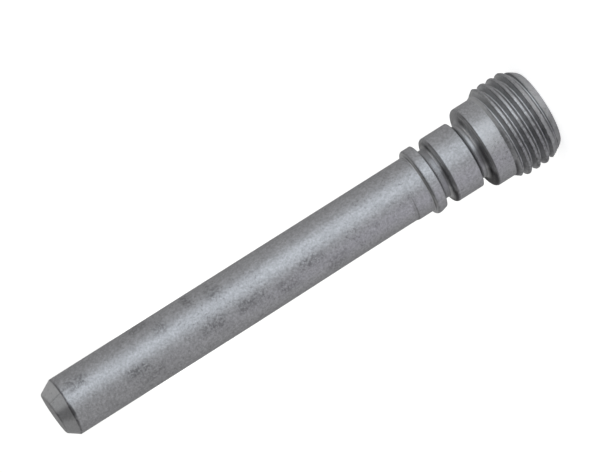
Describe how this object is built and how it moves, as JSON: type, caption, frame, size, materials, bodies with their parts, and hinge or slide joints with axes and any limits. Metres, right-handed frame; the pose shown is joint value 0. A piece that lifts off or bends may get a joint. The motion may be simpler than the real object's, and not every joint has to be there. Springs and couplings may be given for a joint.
{
  "type": "brake pad pin",
  "caption": "Turned steel pin that carries disc brake pads, with a threaded hexagon-socket head, two grooves, a flange and a chamfered tip.",
  "frame": {"origin": "centre of the head's end face, on which the pin stands", "axes": "+Z along the pin's axis, from the threaded head to the chamfered tip"},
  "size_m": [0.0098, 0.0098, 0.0556],
  "materials": {
    "steel": "satin grey zinc-plated steel, rubbed and finely mottled"
  },
  "bodies": {
    "root": {"pad_pin": "steel"}
  },
  "joints": []
}
